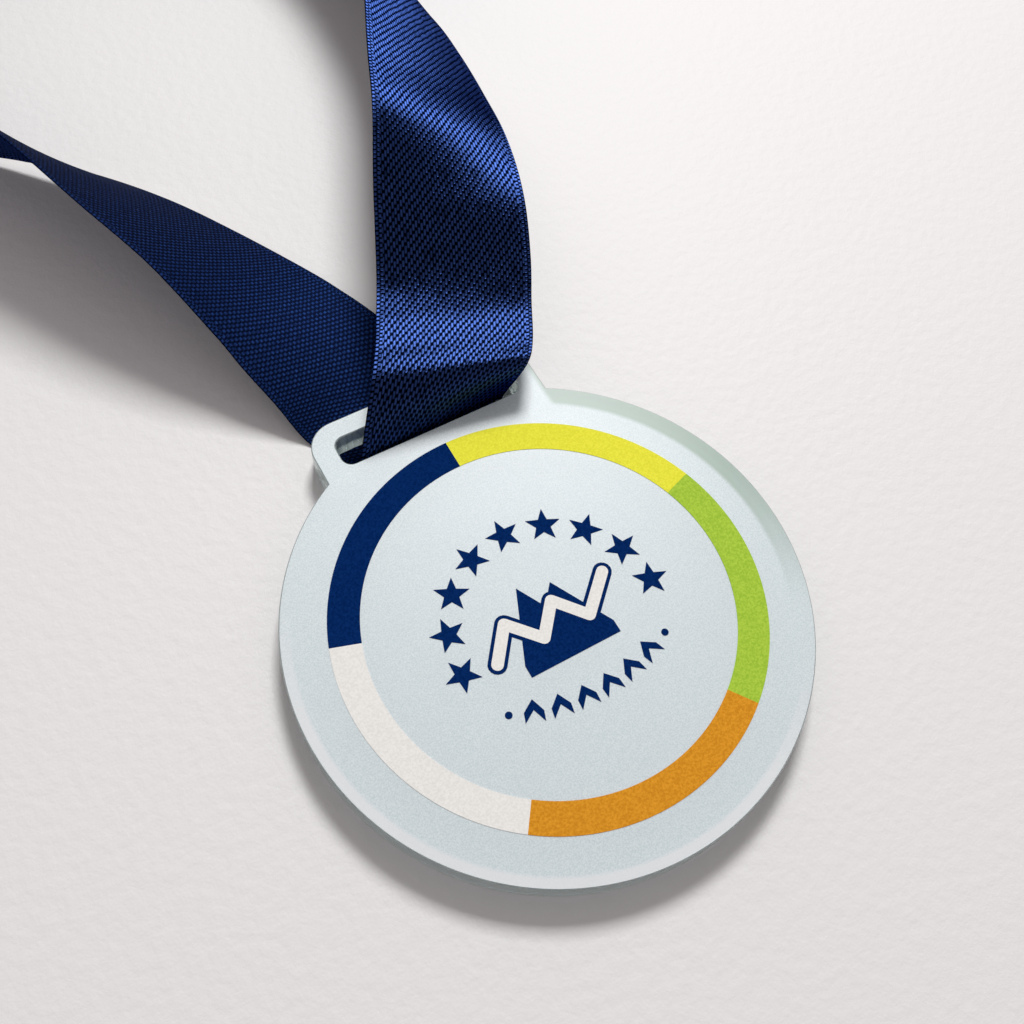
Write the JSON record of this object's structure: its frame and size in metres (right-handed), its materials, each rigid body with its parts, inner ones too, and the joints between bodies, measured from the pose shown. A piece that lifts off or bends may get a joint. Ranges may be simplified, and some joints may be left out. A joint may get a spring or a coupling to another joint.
{
  "type": "finisher medal",
  "caption": "Round printed acrylic medal with a slotted tab, hung on a satin neck ribbon that runs round the tab's bar.",
  "frame": {"origin": "centre of the disc on its back face", "axes": "+Z out of the printed face, +Y from the disc's centre towards the slotted tab, +X to the right of the print"},
  "size_m": [0.0874, 0.2191, 0.0221],
  "materials": {
    "acrylic": "frosted translucent acrylic with polished cut edges",
    "ink_yellow": "printed ink with a fine grain",
    "ink_green": "printed ink with a fine grain",
    "ink_orange": "printed ink with a fine grain",
    "ink_white": "printed ink with a fine grain",
    "ink_navy": "printed ink with a fine grain",
    "ribbon": "polyester satin face, twill back",
    "thread": "polyester sewing thread",
    "tie_tape": "narrow woven tape"
  },
  "bodies": {
    "medal": {"acrylic_plate": "acrylic", "ring_yellow": "ink_yellow", "ring_green": "ink_green", "ring_orange": "ink_orange", "ring_white": "ink_white", "ring_navy": "ink_navy", "print_stars": "ink_navy", "print_mountains": "ink_navy", "print_trail": "ink_white", "print_chevrons": "ink_navy", "print_dots": "ink_navy"},
    "ribbon_fold": {"ribbon_in_slot": "ribbon"},
    "neck_loop": {"front_strand": "ribbon", "rear_strand": "ribbon", "ribbon_roll": "ribbon", "sewn_ends": "ribbon", "end_stitches": "thread", "roll_tie": "tie_tape"}
  },
  "joints": [
    {"name": "ribbon_slide", "type": "slide", "parent": "medal", "child": "ribbon_fold", "axis": [1, 0, 0], "range_m": [-0.0012, 0.002]},
    {"name": "loop_swing", "type": "hinge", "parent": "ribbon_fold", "child": "neck_loop", "pos_m": [0, 0.03515, 0.002], "axis": [1, 0, 0], "range_deg": [-40, 90], "deforming": ["ribbon_in_slot"]}
  ]
}
